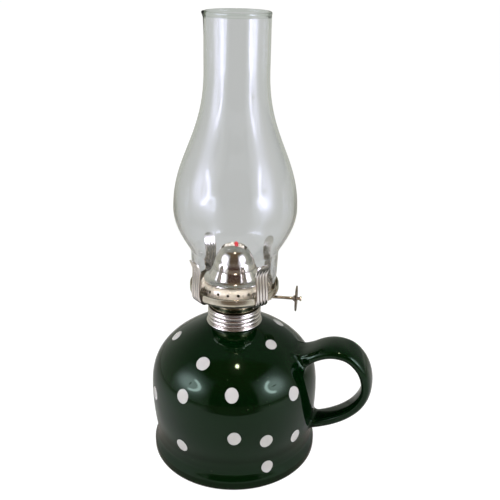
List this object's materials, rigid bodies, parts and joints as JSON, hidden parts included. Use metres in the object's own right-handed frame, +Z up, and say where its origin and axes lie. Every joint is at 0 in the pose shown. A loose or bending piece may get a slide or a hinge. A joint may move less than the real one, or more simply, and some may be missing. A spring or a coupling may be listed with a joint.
{
  "type": "kerosene lamp",
  "caption": "Ceramic hand lamp with a loop handle, screw collar, flat-wick burner with a thumb-wheel wick raiser, spring prongs and a lift-off glass chimney.",
  "frame": {"origin": "centre of the font's flat underside, where the lamp's axis meets the table", "axes": "+Z up along the lamp's axis, +X from the axis towards the handle, +Y to the left of the handle seen from above"},
  "size_m": [0.1647, 0.1234, 0.3198],
  "materials": {
    "glaze": "gloss",
    "plaster": "matt",
    "nickel": "bright plated",
    "brass": "satin",
    "cotton": "matt",
    "glass": "clear"
  },
  "bodies": {
    "font": {"font_body": "glaze", "collar_cement": "plaster", "collar": "nickel"},
    "burner": {"screw_shell": "nickel", "burner_baffle": "nickel", "burner_cup": "nickel", "gallery": "nickel", "air_screen": "nickel", "prong_1": "nickel", "prong_2": "nickel", "prong_3": "nickel", "prong_4": "nickel", "wick_tube": "brass", "sprocket_box": "brass", "shaft_ferrule": "brass", "deflector_dome": "nickel"},
    "wick": {"wick": "cotton"},
    "wick_shaft": {"wick_shaft": "brass", "thumb_wheel": "nickel", "spur_wheel_1": "brass", "spur_wheel_2": "brass", "spur_wheel_3": "brass"},
    "chimney": {"chimney": "glass"}
  },
  "joints": [
    {"name": "burner_lift", "type": "slide", "parent": "font", "child": "burner", "axis": [0, 0, 1], "range_m": [0, 0.11]},
    {"name": "chimney_lift", "type": "slide", "parent": "burner", "child": "chimney", "axis": [0, 0, 1], "range_m": [0, 0.06]},
    {"name": "wick_knob", "type": "hinge", "parent": "burner", "child": "wick_shaft", "pos_m": [-0.00059, 0.00557, 0.12385], "axis": [-0.9945, -0.1045, 0], "range_deg": [-160, 110]},
    {"name": "wick_raise", "type": "slide", "parent": "burner", "child": "wick", "axis": [0, 0, 1], "range_m": [-0.0114, 0.0078]}
  ],
  "couplings": [
    {"joint": "wick_knob", "follows": "wick_raise", "rad_per_m": 243.9}
  ]
}
